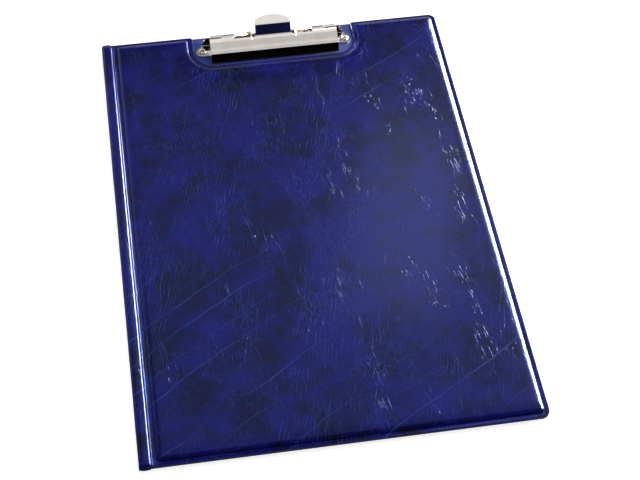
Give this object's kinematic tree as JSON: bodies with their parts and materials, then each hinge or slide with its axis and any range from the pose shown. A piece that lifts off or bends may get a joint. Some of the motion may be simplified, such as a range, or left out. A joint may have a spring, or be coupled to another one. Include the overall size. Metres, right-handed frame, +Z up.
{
  "type": "folding clipboard",
  "caption": "Folding A4 clipboard with a padded cover, a rolled foil spine and a sprung lever clip that holds loose sheets.",
  "frame": {"origin": "centre of the closed folder's outline, on the flat outside of the back cover that it rests on", "axes": "+X from the spine to the free edge, +Y to the end that holds the clip, +Z up from the back cover through the front cover"},
  "size_m": [0.23, 0.3252, 0.02],
  "materials": {
    "marbled_foil": "gloss",
    "smooth_foil": "satin",
    "greyboard": "matte",
    "foam": "matte",
    "nickel_plated_steel": "polished",
    "spring_steel": "satin"
  },
  "bodies": {
    "back_cover": {"back_outer_foil": "marbled_foil", "back_board": "greyboard", "back_inner_foil": "smooth_foil", "spine_foil_back": "marbled_foil", "spine_lining_back": "smooth_foil", "clip_base": "nickel_plated_steel", "left_rivet": "nickel_plated_steel", "right_rivet": "nickel_plated_steel", "hinge_pin": "spring_steel", "left_torsion_spring": "spring_steel", "right_torsion_spring": "spring_steel"},
    "front_cover": {"front_outer_foil": "marbled_foil", "front_padding": "foam", "front_board": "greyboard", "front_inner_foil": "smooth_foil", "inner_pocket": "smooth_foil", "spine_foil_front": "marbled_foil", "spine_lining_front": "smooth_foil"},
    "jaw": {"jaw_plate": "nickel_plated_steel"}
  },
  "joints": [
    {"name": "cover_hinge", "type": "hinge", "parent": "back_cover", "child": "front_cover", "pos_m": [-0.115, 0, 0.0036], "axis": [0, -1, 0], "range_deg": [0, 180]},
    {"name": "jaw_hinge", "type": "hinge", "parent": "back_cover", "child": "jaw", "pos_m": [0.001, 0.151, 0.011], "axis": [-1, 0, 0], "range_deg": [0, 35], "stiffness_Nm_per_rad": 0.2, "springref_deg": -51.57, "deforming": ["left_torsion_spring", "right_torsion_spring"]}
  ]
}
